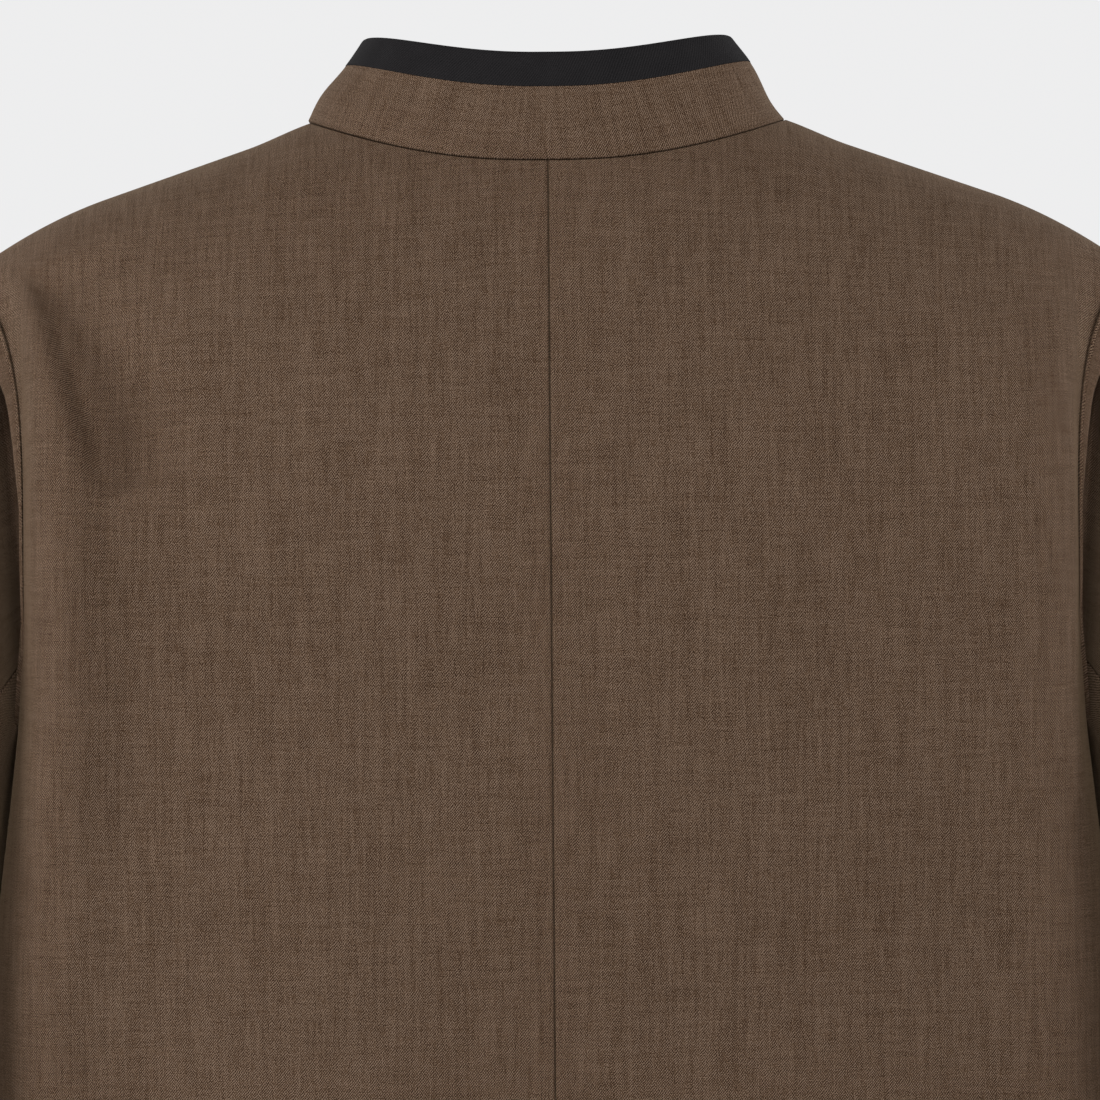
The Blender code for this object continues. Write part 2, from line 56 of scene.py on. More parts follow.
# Neck and shoulders
NECK_HALF = 0.0972
NECK_BACK = 0.0614
NECK_FRONT = 0.070
NECK_SQUARE = 2.25
SHOULDER_HALF = 0.236
SHOULDER_SLOPE = 0.345
SHOULDER_ROUND_FROM = 0.18
SHOULDER_ROUND = 3.4
SHOULDER_SPREAD = 0.12
SHOULDER_DIP = 0.0016
SHOULDER_DIP_REACH = 0.025
CHEST_LEAN = 0.6
CHEST_LEAN_REACH = 0.8

# Heights of the body and depths of the armhole
BLADE = -0.19
UNDERARM = -0.25
HEM = -0.755
ARMHOLE_BACK = 0.0565
ARMHOLE_FRONT = 0.068

# The left front laps over the right one
OVERLAP = 0.018
OVERLAP_SEARCH = 0.25
LAP_CLEARANCE = 0.0008
TUCK_FROM = 0.045
TUCK_TO = 0.022

# Collar stand and its binding
COLLAR_TOP_HALF = 0.0756
COLLAR_TOP_BACK = 0.0513
COLLAR_TOP_FRONT = 0.0608
COLLAR_RISE_BACK = 0.0427
COLLAR_RISE_SIDE = 0.0320
COLLAR_RISE_FRONT = 0.0390
COLLAR_END_GAP = 0.0012
BINDING_SHARE = 0.30
BINDING_PROUD = 0.0002
BINDING_REBATE = 0.0012
BINDING_STEP = 0.002

# Foot of the stand: shares of its rise, and how far the outer face sinks behind the neck edge there
CollarFoot = namedtuple("CollarFoot", "share sink")
COLLAR_FOOT = (
    CollarFoot(-0.120, 0.0023),
    CollarFoot(-0.030, 0.0023),
    CollarFoot(0.000, 0.0023),
    CollarFoot(0.007, 0.0023),
    CollarFoot(0.010, 0.0014),
    CollarFoot(0.014, 0.0004),
    CollarFoot(0.021, 0.0),
)

# Soft swellings of the stand: turn is 0 at the centre back and 90 over the left shoulder
Swelling = namedtuple("Swelling", "turn share turn_spread share_spread out")
SWELLINGS = (
    Swelling(90.0, 0.30, 42.0, 0.30, 0.0022),
    Swelling(-90.0, 0.70, 40.0, 0.26, 0.0011),
    Swelling(-90.0, 0.22, 40.0, 0.22, -0.0011),
)

# Sleeves
SLEEVE_CLEARANCE = 0.0022
SLEEVE_INNER_SQUARE = 3.2
SLEEVE_TOE_IN = 0.009
LEAVE_SHOULDER = (0.81, 0.0, -0.59)
LEAVE_BLADE = (0.90, 0.0, -0.44)
LEAVE_UNDERARM = (0.30, 0.0, -0.95)
HANG = np.array((0.06, -0.02, -1.0))
HINDARM_SEAM = 131.0
FOREARM_SEAM = 232.0

# How finely the shells are divided
RING_SAMPLES = 400
NECK_COLUMNS = 34
SHOULDER_COLUMNS = 44
LAP_COLUMNS = 6
BODY_ROWS = 120
ARMPIT_ROWS = 26
YOKE_ROWS = 84
LAST_STEP = 0.063
CAP_ROWS = 110
CAP_CROWDING = 1.7
ARM_ROWS = 80
SLEEVE_STEP = 2.4
COLLAR_COLUMNS = 56
COLLAR_ROWS = 16
FOLD_STEPS = 9

# Rolled edges: how far in from an edge the extra rows lie, and the radius of each roll
EDGE_STEPS = (0.0, 0.00013, 0.00034, 0.0008, 0.0014)
SEAM_ROLL = 0.0009
NECK_ROLL = 0.0003
HEM_ROLL = 0.00085

# The angle past which an edge shows as sharp
SHARP_ANGLE = 60.0

# Turned-in allowance of the centre back seam: how far each extra row sinks on the two faces
ALLOWANCE_OUTER = (0.0028, 0.0016, 0.0003, 0.0, 0.0)
ALLOWANCE_INNER = (0.0028, 0.0028, 0.0024, 0.0010, 0.0)

Level = namedtuple("Level", "height half_width back_depth front_depth back_square front_square")
LEVELS = (
    Level(-0.190, 0.2148, 0.1090, 0.1220, 4.0, 2.6),
    Level(-0.240, 0.2152, 0.1090, 0.1225, 3.9, 2.6),
    Level(-0.270, 0.2186, 0.1080, 0.1230, 3.7, 2.6),
    Level(-0.330, 0.2258, 0.1050, 0.1225, 3.4, 2.6),
    Level(-0.430, 0.2300, 0.1010, 0.1210, 3.0, 2.6),
    Level(-0.530, 0.2330, 0.1020, 0.1210, 2.9, 2.6),
    Level(-0.640, 0.2355, 0.1070, 0.1230, 2.9, 2.6),
    Level(-0.755, 0.2375, 0.1110, 0.1240, 2.9, 2.6),
)

ArmSection = namedtuple("ArmSection", "height half_width half_depth centre_y tilt")
ARM_SECTIONS = (
    ArmSection(-0.305, 0.0450, 0.0725, 0.008, 0.00),
    ArmSection(-0.380, 0.0435, 0.0695, 0.012, 0.02),
    ArmSection(-0.460, 0.0425, 0.0655, 0.005, 0.08),
    ArmSection(-0.560, 0.0405, 0.0600, -0.020, 0.16),
    ArmSection(-0.668, 0.0385, 0.0535, -0.053, 0.20),
)

# Drape of the body: each line runs down the cloth, across is measured from the centre line along it,
# and inner is how many times wider the fold is on the side of the centre line
BodyFold = namedtuple("BodyFold", "piece across height across_end height_end width inner depth")
BODY_FOLDS = (
    BodyFold("back_left", 0.204, -0.056, 0.1715, -0.156, 0.0078, 3.2, -0.016),
    BodyFold("back_left", 0.17, -0.085, 0.162, -0.3, 0.0185, 4.0, -0.0085),
    BodyFold("back_left", 0.212, -0.05, 0.209, -0.31, 0.0105, 2.9, 0.0145),
    BodyFold("back_left", 0.169, -0.19, 0.165, -0.6, 0.024, 3.0, -0.0045),
    BodyFold("back_left", 0.209, -0.23, 0.215, -0.5, 0.015, 1.6, 0.0085),
    BodyFold("back_left", 0.095, -0.33, 0.12, -0.74, 0.034, 1.2, 0.003),
    BodyFold("back_right", 0.172, -0.13, 0.168, -0.52, 0.024, 3.0, -0.0035),
    BodyFold("back_right", 0.19, -0.11, 0.202, -0.29, 0.015, 3.0, -0.002),
    BodyFold("back_right", 0.2145, -0.06, 0.218, -0.3, 0.01, 2.6, 0.0115),
    BodyFold("back_right", 0.214, -0.22, 0.217, -0.6, 0.015, 1.8, 0.008),
    BodyFold("back_right", 0.09, -0.38, 0.105, -0.74, 0.036, 1.2, 0.0035),
    BodyFold("front_left", 0.165, -0.12, 0.19, -0.33, 0.022, 1.6, -0.005),
    BodyFold("front_left", 0.12, -0.42, 0.15, -0.74, 0.034, 1.2, 0.0045),
    BodyFold("front_right", 0.16, -0.13, 0.188, -0.34, 0.022, 1.6, -0.0045),
    BodyFold("front_right", 0.125, -0.4, 0.14, -0.74, 0.034, 1.2, 0.0045),
)

# How a fold rises along its line, how little it pushes sideways, and where it fades on a panel
FOLD_TAPER = 0.7
FOLD_SOFT_END = 0.35
FOLD_SIDEWAYS = 0.05
FOLD_FADE_CENTRE = 0.08
FOLD_FADE_EDGE = 0.05

# The fold between sleeve and body: past a rolled lip the cloth turns in, then comes round the arm
SleeveTuck = namedtuple("SleeveTuck", "grow full ease end wall floor rise shift_y")
SLEEVE_TUCKS = (
    SleeveTuck(18.0, 46.0, 112.0, 168.0, 0.0026, 0.003, 0.016, -0.046),
    SleeveTuck(325.0, 285.0, 278.0, 234.0, 0.0100, 0.004, 0.042, 0.020),
)

# Width of the lip between the armhole seam and the fold, by turn
Lip = namedtuple("Lip", "turn width")
LIPS = (
    Lip(40.0, 0.0090),
    Lip(54.0, 0.0052),
    Lip(74.0, 0.0034),
    Lip(90.0, 0.0014),
    Lip(104.0, 0.0002),
    Lip(180.0, 0.0002),
    Lip(234.0, 0.0040),
    Lip(320.0, 0.0060),
)

# Drape of the sleeves: turn goes from the shoulder (0) back to the underarm (180) and round the front
SleeveFold = namedtuple("SleeveFold", "turn run turn_end run_end width depth")
SLEEVE_FOLDS = (
    SleeveFold(60.0, 0.10, 95.0, 0.52, 0.016, -0.0050),
    SleeveFold(300.0, 0.50, 215.0, 0.64, 0.015, -0.0055),
    SleeveFold(310.0, 0.62, 225.0, 0.72, 0.014, -0.0045),
    SleeveFold(20.0, 0.58, 110.0, 0.74, 0.020, 0.0040),
    SleeveFold(330.0, 0.16, 290.0, 0.46, 0.018, 0.0045),
)

# Sleeve folds are as wide on both sides, and fade to the head and the cuff
SLEEVE_FOLD_INNER = 1.0
FOLD_FADE_CAP = 0.15
FOLD_FADE_CUFF = 0.10

# The sleeve's run, as a share of its rows, at each step of the head: it spreads out towards the arm
CAP_STEPS = (0.0, 0.03, 0.07, 0.115, 0.19, 0.30, 0.44, 0.60, 0.79, 1.0)
CAP_SHARE = 0.45

# Cut sizes: width and length of the flat piece, and its area
Cut = namedtuple("Cut", "width length area")

# Buttons down the centre front, their holes and thread
BUTTON_COUNT = 5
BUTTON_TOP = -0.125
BUTTON_PITCH = 0.098
BUTTON_LIFT = 0.0006
BUTTON_STEPS = 96
BUTTON_RINGS = 44
BUTTON_MIDDLE = 0.00001
HOLE_PLACE = 0.0017
HOLE_RADIUS = 0.0009
HOLE_SOFT = 0.00015
HOLE_DEPTH = 0.0013
THREAD = 0.00026
THREAD_RISE = 0.0004
THREAD_SIDES = 8
STRANDS = (-0.00042, 0.0, 0.00042)
STRAND_STEPS = 15

# Powers that round a strand's arch and dip its ends into the holes
STRAND_ROUND = 0.4
STRAND_DIVE = 12

# Outline of a button, from the middle of its dish over the rim to its foot
ButtonStep = namedtuple("ButtonStep", "radius height")
BUTTON_OUTLINE = (
    ButtonStep(0.0068, 0.0023),
    ButtonStep(0.0074, 0.0026),
    ButtonStep(0.0079, 0.0029),
    ButtonStep(0.0084, 0.0030),
    ButtonStep(0.0090, 0.0030),
    ButtonStep(0.0096, 0.0027),
    ButtonStep(0.0100, 0.0019),
    ButtonStep(0.0097, 0.0008),
    ButtonStep(0.0088, 0.0),
    ButtonStep(BUTTON_MIDDLE, 0.0),
)

# Buttonholes: their two ends across the front, and the half width and height of the sewn edge
BUTTONHOLE = (-0.004, 0.021)
BUTTONHOLE_HALF = 0.00085
BUTTONHOLE_STEPS = 9
EDGE_THREAD = 0.00080
EDGE_RISE = 0.00032
EDGE_LEVEL = 0.0002

# How finely the front is read under the buttonholes, and its last row
FRONT_COLUMNS = 61
FRONT_TOP = 0.99

# Noise in a material: how often it changes across and along the cloth in a metre, and its share
Streak = namedtuple("Streak", "across along detail share")

# Ribs of a twill: their lean in degrees, their pitch and their share
Rib = namedtuple("Rib", "lean pitch share")

# Brown wool: a patch makes the ribs uneven by its share and shifts their wave by its wander
BROWN_PATCH = Streak(260.0, 190.0, 2.0, 0.9)
BROWN_WANDER = 7.0
BROWN_STREAKS = (
    Streak(2300.0, 2100.0, 0.0, 1.15),
    Streak(1250.0, 1120.0, 0.0, 0.18),
    Streak(1400.0, 70.0, 1.0, 0.30),
    Streak(460.0, 26.0, 1.0, 0.24),
    Streak(70.0, 1400.0, 1.0, 0.24),
    Streak(26.0, 460.0, 1.0, 0.16),
    Streak(90.0, 12.0, 1.0, 0.12),
    Streak(9.0, 7.0, 3.0, 0.06),
)
BROWN_RIBS = (Rib(50.0, 0.00076, 0.72), Rib(-53.0, 0.00080, 0.37))

# Black binding
BLACK_PATCH = Streak(60.0, 80.0, 3.0, 0.35)
BLACK_WANDER = 4.0
BLACK_SPECK = Streak(2300.0, 2300.0, 1.0, 1.1)
BLACK_RIB = Rib(50.0, 0.0011, 0.24)
BLACK_START = 0.42

# Thread, horn, and the middle of every tone
THREAD_LAY = Rib(72.0, 0.00034, 0.35)
THREAD_FLECK = Streak(1500.0, 700.0, 1.0, 0.6)
HORN_STRETCH = (90.0, 60.0, 380.0)
HORN_DETAIL = 4.0
MIDDLE_TONE = 0.5

# Colours from the darkest to the lightest, with the tone that each stands at
Shade = namedtuple("Shade", "tone colour")
BROWN_SHADES = (
    Shade(0.0, (0.024, 0.0102, 0.0048, 1.0)),
    Shade(0.5, (0.118, 0.0690, 0.0400, 1.0)),
    Shade(1.0, (0.285, 0.197, 0.140, 1.0)),
)
BLACK_SHADES = (
    Shade(0.0, (0.0092, 0.0085, 0.0094, 1.0)),
    Shade(1.0, (0.0315, 0.0292, 0.0306, 1.0)),
)
HORN_SHADES = (
    Shade(0.35, (0.016, 0.009, 0.006, 1.0)),
    Shade(0.70, (0.090, 0.050, 0.028, 1.0)),
)
THREAD_SHADES = (
    Shade(0.0, (0.020, 0.010, 0.006, 1.0)),
    Shade(1.0, (0.120, 0.072, 0.044, 1.0)),
)
SHEEN_TINT = (0.82, 0.58, 0.35, 1.0)

# Photograph's view
CAMERA_PLACE = (0.0004, 2.6, -0.1745)
CAMERA_ROLL = -0.45
VIEW_PLANE = 0.05
VIEW_WIDTH = 0.44
SENSOR = 36.0
CAMERA_REACH = 50.0

# Soft boxes round the jacket: an azimuth of 180 is behind it, where the camera stands
SoftBox = namedtuple("SoftBox", "name azimuth elevation distance width height watts")
SOFT_BOXES = (
    SoftBox("key", 180.0, 28.0, 2.6, 1.0, 0.9, 34.2),
    SoftBox("side_left", 100.0, 5.0, 2.2, 1.5, 1.2, 20.5),
    SoftBox("side_right", 273.0, 6.0, 2.2, 0.6, 1.2, 14.5),
    SoftBox("front_left", 40.0, 30.0, 2.6, 1.2, 1.4, 16.0),
    SoftBox("front_right", 320.0, 30.0, 2.6, 1.2, 1.4, 16.0),
)
LIGHT_AIM = (0.0, 0.0, -0.25)

# Backdrop, light from all round, and floor
BACKDROP = (0.852, 0.852, 0.857, 1.0)
AMBIENT = (1.0, 1.0, 1.0, 1.0)
AMBIENT_STRENGTH = 0.09
FLOOR_GAP = 0.004
FLOOR_SIZE = 12.0
FLOOR_COLOUR = (0.72, 0.72, 0.72, 1.0)
FLOOR_ROUGHNESS = 0.9


# Forms of the body


def smooth_between(t, start, leave, end, arrive):
    """A place on the smooth curve between two ends, for the slopes that it has at them."""
    return (
        (1 + 2 * t) * (1 - t) ** 2 * start
        + t * (1 - t) ** 2 * leave
        + t * t * (3 - 2 * t) * end
        - t * t * (1 - t) * arrive
    )


def run_along(line):
    """Length along a line of points, from the first one to each."""
    return np.concatenate([[0.0], np.cumsum(np.linalg.norm(np.diff(line, axis=0), axis=1))])


def smooth_row(rows, at):
    """A table's row at a height between its rows, on a smooth curve through them."""
    table = np.array(rows)
    place = table[:, 0]
    slope = np.gradient(table, place, axis=0)
    i = int(np.clip(np.searchsorted(-place, -at) - 1, 0, len(place) - 2))
    span = place[i + 1] - place[i]
    t = (at - place[i]) / span
    values = smooth_between(t, table[i], span * slope[i], table[i + 1], span * slope[i + 1])
    return type(rows[0])(*values)


def smoothstep(value, low, high):
    """A smooth step from 0 at low to 1 at high, which may lie either way round."""
    t = np.clip((value - low) / (high - low), 0.0, 1.0)
    return t * t * (3 - 2 * t)


def unit(vectors):
    return vectors / np.linalg.norm(vectors, axis=-1, keepdims=True)


def armhole_depth(side, height):
    """How far the cloth's edge lies from the side line: none below the underarm, then round up."""
    reach = ARMHOLE_BACK if side == "back" else ARMHOLE_FRONT
    below = (BLADE - height) / (BLADE - UNDERARM)
    return reach * max(0.0, 1.0 - below * below) ** 0.5


def ring_quarter(side, height, share):
    """x and y along a rounded quarter ring of the torso, and the length of cloth in it."""
    level = smooth_row(LEVELS, height)
    depth = level.back_depth if side == "back" else level.front_depth
    square = level.back_square if side == "back" else level.front_square
    edge_angle = acos((armhole_depth(side, height) / depth) ** (square / 2))
    angle = np.linspace(0.0, edge_angle, RING_SAMPLES)
    x = level.half_width * np.sin(angle) ** (2 / square)
    y = depth * np.abs(np.cos(angle)) ** (2 / square)
    run = run_along(np.stack([x, y], axis=-1))
    place = np.abs(share) * run[-1]
    return np.interp(place, run, x), np.interp(place, run, y), run[-1]


def shoulder_line(share):
    """x of a column where it crosses the shoulder line."""
    return SHOULDER_HALF * share * (1.0 + SHOULDER_SPREAD * (1.0 - share))


def neck_share():
    """The share of a row, from the centre line out, that ends at the neck."""
    spread = 1.0 + SHOULDER_SPREAD
    part = 4 * SHOULDER_SPREAD * NECK_HALF / SHOULDER_HALF
    return (spread - (spread * spread - part) ** 0.5) / (2 * SHOULDER_SPREAD)


def ridge_height(x):
    """Height of the shoulder line, which runs on under the collar as a low crown."""
    crown = SHOULDER_SLOPE * (NECK_HALF**2 - x**2) / (2 * NECK_HALF)
    slope = -SHOULDER_SLOPE * (x - NECK_HALF)
    drop = SHOULDER_ROUND * np.maximum(x - SHOULDER_ROUND_FROM, 0.0) ** 2
    drop = drop + SHOULDER_DIP * smoothstep(x, NECK_HALF, NECK_HALF + SHOULDER_DIP_REACH)
    return np.where(x < NECK_HALF, crown, slope) - drop


def over_shoulder(side, v, u):
    """A row between the shoulder blades (v 0) and the neck and shoulder seams (v 1)."""
    neck_end = neck_share()
    round_neck = np.minimum(u / neck_end, 1.0) * pi / 2
    neck_power = 2 / NECK_SQUARE
    seam_share = np.where(u < neck_end, neck_end * np.sin(round_neck) ** neck_power, u)
    share = u + (seam_share - u) * smoothstep(v, 0.0, 1.0)
    x, y, _ = ring_quarter(side, BLADE, share)

    blade = smooth_row(LEVELS, BLADE)
    neck_depth = NECK_BACK / blade.back_depth if side == "back" else NECK_FRONT / blade.front_depth
    lean = 0.0 if side == "back" else CHEST_LEAN
    power = 1.0 + lean * (1.0 - smoothstep(share, 0.0, CHEST_LEAN_REACH))
    seam_depth = neck_depth * np.abs(np.cos(round_neck)) ** neck_power
    turn = v * np.arccos(seam_depth ** (1 / power))
    lift = smoothstep(1 - np.cos(turn), 0.0, 1.0)
    top_x = shoulder_line(share)
    return (
        x + (top_x - x) * lift,
        y * np.abs(np.cos(turn)) ** power,
        BLADE + (ridge_height(top_x) - BLADE) * np.sin(turn) ** power,
    )


def row_height(v):
    return BLADE + min(v, 0.0) * (BLADE - HEM)


def torso_row(side, v, u):
    """One row of a half torso: u is 0 at the centre line and 1 at the outer edge.

    v is -1 at the hem, 0 at the shoulder blades and 1 at the neck and shoulder seams.
    """
    if v > 0:
        x, y, z = over_shoulder(side, v, np.abs(u))
    else:
        x, y, _ = ring_quarter(side, row_height(v), u)
        z = np.full_like(x, row_height(v))
    return np.stack([np.sign(u) * x, y if side == "back" else -y, z], axis=-1)


def row_length(side, v):
    """Length of cloth from the centre line to the outer edge, at the blades for rows above them."""
    return ring_quarter(side, row_height(v), np.array([1.0]))[2]


def row_stations(side):
    """The v of each row: even from hem to underarm, round the armhole's foot, then over the yoke.

    Under the front neck the rows crowd together, so the last step there is a wider one.
    """
    underarm = (UNDERARM - BLADE) / (BLADE - HEM)
    body = np.linspace(-1.0, underarm, BODY_ROWS + 1)
    armpit = underarm * np.sin(np.linspace(pi / 2, 0.0, ARMPIT_ROWS + 1))
    last = LAST_STEP if side == "front" else 1.0 / YOKE_ROWS
    yoke = np.linspace(0.0, 1.0 - last, YOKE_ROWS)
    return np.concatenate([body, armpit[1:], yoke[1:], [1.0]])


def column_shares():
    neck = np.linspace(0.0, neck_share(), NECK_COLUMNS + 1)
    shoulder = np.linspace(neck_share(), 1.0, SHOULDER_COLUMNS + 1)
    return np.concatenate([neck, shoulder[1:]])


def overlap_share(v):
    """The u, beyond the centre front, of an edge that runs straight down the overlap."""
    u = np.linspace(0.0, OVERLAP_SEARCH, RING_SAMPLES)
    return np.interp(OVERLAP, torso_row("front", v, u)[:, 0], u)


def fold_height(folds, across, down):
    """Summed height of soft folds over a place on the cloth, given as two lengths.

    Each fold has two ends, a width, how many times wider it is on its inner side, and a depth.
    """
    total = np.zeros_like(across)
    for start, end, width, inner, depth in folds:
        line = np.subtract(end, start)
        offset_a = across - start[0]
        offset_d = down - start[1]
        along = np.clip((offset_a * line[0] + offset_d * line[1]) / (line @ line), 0.0, 1.0)
        beside = offset_a - along * line[0]
        off = np.hypot(beside, offset_d - along * line[1])
        spread = np.where(beside < 0.0, width * inner, width)
        rise = np.sin(pi * along)
        rise = rise**FOLD_TAPER * smoothstep(rise, 0.0, FOLD_SOFT_END)
        total += depth * np.exp(-((off / spread) ** 2)) * rise
    return total


def surface_normals(points, sign):
    return sign * unit(np.cross(np.gradient(points, axis=0), np.gradient(points, axis=1)))


# Cloth shells


def near_edges(grid):
    """Adds columns close to the first and the last one, for the rolled edge."""
    steps = np.array(EDGE_STEPS)
    out = []
    for edge, beside in ((grid[:, 0], grid[:, 1]), (grid[:, -1], grid[:, -2])):
        length = np.linalg.norm(beside[:, :3] - edge[:, :3], axis=1)
        share = steps[None, :, None] / length[:, None, None]
        out.append(edge[:, None] + (beside - edge)[:, None] * share)
    return np.concatenate([out[0], grid[:, 1:-1], out[1][:, ::-1]], axis=1)


def roll_drop(count, first, last):
    """How far the cloth's face sinks along each column, for the roll radius at each end."""
    steps = np.array(EDGE_STEPS)
    drop = np.zeros(count)
    for radius, place in ((first, slice(0, len(steps))), (last, slice(count - 1, -len(steps) - 1, -1))):
        if radius:
            inside = np.clip(radius - steps, 0.0, radius)
            drop[place] = radius - np.sqrt(radius**2 - inside**2)
    return drop


Edges = namedtuple("Edges", "first last low high")


def cloth_panel(name, points, flat, sign, thick, rolls, back_rolls, material, relief=None, turned=False):
    """A sheet of cloth with rolled edges: the outer face, the inner face and the rim between them.

    flat holds each point's place on the flat cloth. rolls and back_rolls are the radii of the edges'
    rolls on the outer and the inner face, and relief sinks both faces into the cloth. A turned panel
    has the allowance of its first edge turned in.
    """
    # Columns of the grid: 0 to 2 the point, 3 and 4 its flat place, 5 and 6 the faces' relief
    grid = np.concatenate([points, flat], axis=2)
    if relief is not None:
        grid = np.concatenate([grid, relief], axis=2)
    grid = near_edges(grid)
    grid = near_edges(grid.transpose(1, 0, 2)).transpose(1, 0, 2)
    rows, columns = grid.shape[:2]
    normals = surface_normals(grid[..., :3], sign)
    sink = [
        np.maximum(
            roll_drop(rows, edges.low, edges.high)[:, None],
            roll_drop(columns, edges.first, edges.last)[None, :],
        )
        for edges in (rolls, back_rolls)
    ]
    if relief is not None:
        sink = [sink[0] + grid[..., 5], sink[1] + grid[..., 6]]
    if turned:
        sink[0][:, : len(EDGE_STEPS)] += ALLOWANCE_OUTER
        sink[1][:, : len(EDGE_STEPS)] -= ALLOWANCE_INNER
    outer = grid[..., :3] - normals * sink[0][..., None]
    inner = grid[..., :3] - normals * (thick - sink[1])[..., None]

    index = np.arange(rows * columns).reshape(rows, columns)
    face = np.stack([index[:-1, :-1], index[1:, :-1], index[1:, 1:], index[:-1, 1:]], axis=-1)
    face = face.reshape(-1, 4)
    rim = np.concatenate([index[0], index[1:, -1], index[-1, -2::-1], index[-2:0:-1, 0]])
    beyond = np.roll(rim, -1)
    under = rows * columns
    wall = np.stack([rim, beyond, beyond + under, rim + under], axis=-1)
    faces = np.concatenate([face, face[:, ::-1] + under, wall])
    if sign < 0:
        faces = faces[:, ::-1]
    verts = np.concatenate([outer.reshape(-1, 3), inner.reshape(-1, 3)])
    places = np.tile(grid[..., 3:5].reshape(-1, 2), (2, 1))
    return cloth_object(name, verts, faces, places, material)


def cloth_object(name, verts, faces, places, material):
    """A piece with its places on the flat cloth as a UV map, smooth but for sharp edges."""
    mesh = bpy.data.meshes.new(name)
    mesh.from_pydata(verts.tolist(), [], faces.tolist())
    layer = mesh.uv_layers.new(name="Cloth")
    layer.data.foreach_set("uv", places[faces.reshape(-1)].reshape(-1))
    mesh.shade_smooth()
    mesh.set_sharp_from_angle(angle=radians(SHARP_ANGLE))
    mesh.materials.append(material)
    piece = bpy.data.objects.new(name, mesh)
    bpy.context.scene.collection.objects.link(piece)
    return piece


def dress(piece, node):
    """Attaches a cloth piece to the root, and hides the solid that it replaces."""
    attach(piece, "root")
    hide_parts(node)


# Body


def flat_places(side, points, stations, shares):
    """Places on the flat cloth: out from the centre line and up along the straight grain."""
    blade_x, _, blade_run = ring_quarter(side, BLADE, np.linspace(0.0, 1.0, RING_SAMPLES))
    run = np.linspace(0.0, blade_run, RING_SAMPLES)
    places = np.zeros(points.shape[:2] + (2,))
    climb = np.linalg.norm(np.diff(points, axis=0), axis=2)
    above = stations > 0
    for i, v in enumerate(stations):
        x = points[i, :, 0]
        if v > 0:
            out = np.interp(np.abs(x), blade_x, run) + np.maximum(np.abs(x) - blade_x[-1], 0.0)
            places[i, :, 0] = np.sign(x) * out
        else:
            places[i, :, 0] = shares[i] * row_length(side, v)
        places[i, :, 1] = row_height(v)
    first = int(np.argmax(above))
    places[first:, :, 1] += np.cumsum(climb[first - 1 :], axis=0)
    return places


def torso_surface(piece, side, hand):
    """Points of one torso panel's outer face, and their places on the flat cloth."""
    stations = row_stations(side)
    shares = []
    for v in stations:
        u = column_shares()
        if side == "front":
            lap = np.linspace(-overlap_share(v), 0.0, LAP_COLUMNS)
            u = np.concatenate([lap[:-1], u])
        shares.append(u)
    points = np.array([torso_row(side, v, u) for v, u in zip(stations, shares)])
    places = flat_places(side, points, stations, shares)
    normals = surface_normals(points, 1.0 if side == "back" else -1.0)

    u = np.array(shares)
    lengths = np.array([row_length(side, v) for v in stations])[:, None]
    lines = [
        ((f.across, f.height), (f.across_end, f.height_end), f.width, f.inner, f.depth)
        for f in BODY_FOLDS
        if f.piece == piece
    ]
    fold = fold_height(lines, np.abs(u) * lengths, points[..., 2])
    fold *= smoothstep(u, 0.0, FOLD_FADE_CENTRE) * smoothstep(1.0 - u, 0.0, FOLD_FADE_EDGE)
    if piece == "front_right":
        fold -= (CLOTH + LAP_CLEARANCE) * (1.0 - smoothstep(points[..., 0], TUCK_TO, TUCK_FROM))
    push = unit(normals * (FOLD_SIDEWAYS, 1.0, 1.0))
    points = points + push * fold[..., None]
    return points * (hand, 1.0, 1.0), places * (hand, 1.0)


def build_torso(cloth):
    """The two backs and the two fronts."""
    for hand, hand_name in HANDS:
        for side in ("back", "front"):
            node = f"{side}_{hand_name}"
            points, places = torso_surface(node, side, hand)
            sign = hand * (1.0 if side == "back" else -1.0)
            centre = 0.0 if side == "back" else HEM_ROLL
            rolls = Edges(centre, SEAM_ROLL, HEM_ROLL, NECK_ROLL)
            back_rolls = Edges(centre, 0.0, HEM_ROLL, 0.0)
            piece = cloth_panel(
                f"cloth_{node}", points, places, sign, CLOTH, rolls, back_rolls, cloth,
                turned=side == "back",
            )
            dress(piece, node)


# Sleeves


def armhole_places(degrees):
    """Points of the left armhole at given turns, from the shoulder tip down the back and round."""
    edges = {}
    turns = {}
    for side in ("back", "front"):
        stations = row_stations(side)[BODY_ROWS:]
        line = np.array([torso_row(side, v, np.array([1.0]))[0] for v in stations])
        run = run_along(line)
        edges[side] = line
        turns[side] = 180.0 * run / run[-1]
    curve = np.concatenate([edges["back"][::-1], edges["front"][1:]])
    at = np.concatenate([180.0 - turns["back"][::-1], 180.0 + turns["front"][1:]])
    return np.stack([np.interp(degrees % 360.0, at, curve[:, k]) for k in range(3)], axis=-1)


def arm_row(section, turns):
    """A ring round the left arm, just clear of the body and flattened there."""
    body = smooth_row(LEVELS, section.height).half_width
    centre_x = body + SLEEVE_CLEARANCE + section.half_width
    power = np.where(np.cos(turns) < 0.0, 2 / SLEEVE_INNER_SQUARE, 1.0)
    outward = np.sign(np.cos(turns)) * np.abs(np.cos(turns)) ** power
    fore_aft = section.half_depth * np.sign(np.sin(turns)) * np.abs(np.sin(turns)) ** power
    x = centre_x + section.half_width * outward
    x -= SLEEVE_TOE_IN * np.clip(-outward, 0.0, 1.0) * smoothstep(-fore_aft, 0.0, section.half_depth)
    return np.stack([x, section.centre_y + fore_aft, section.height - section.tilt * fore_aft], axis=-1)


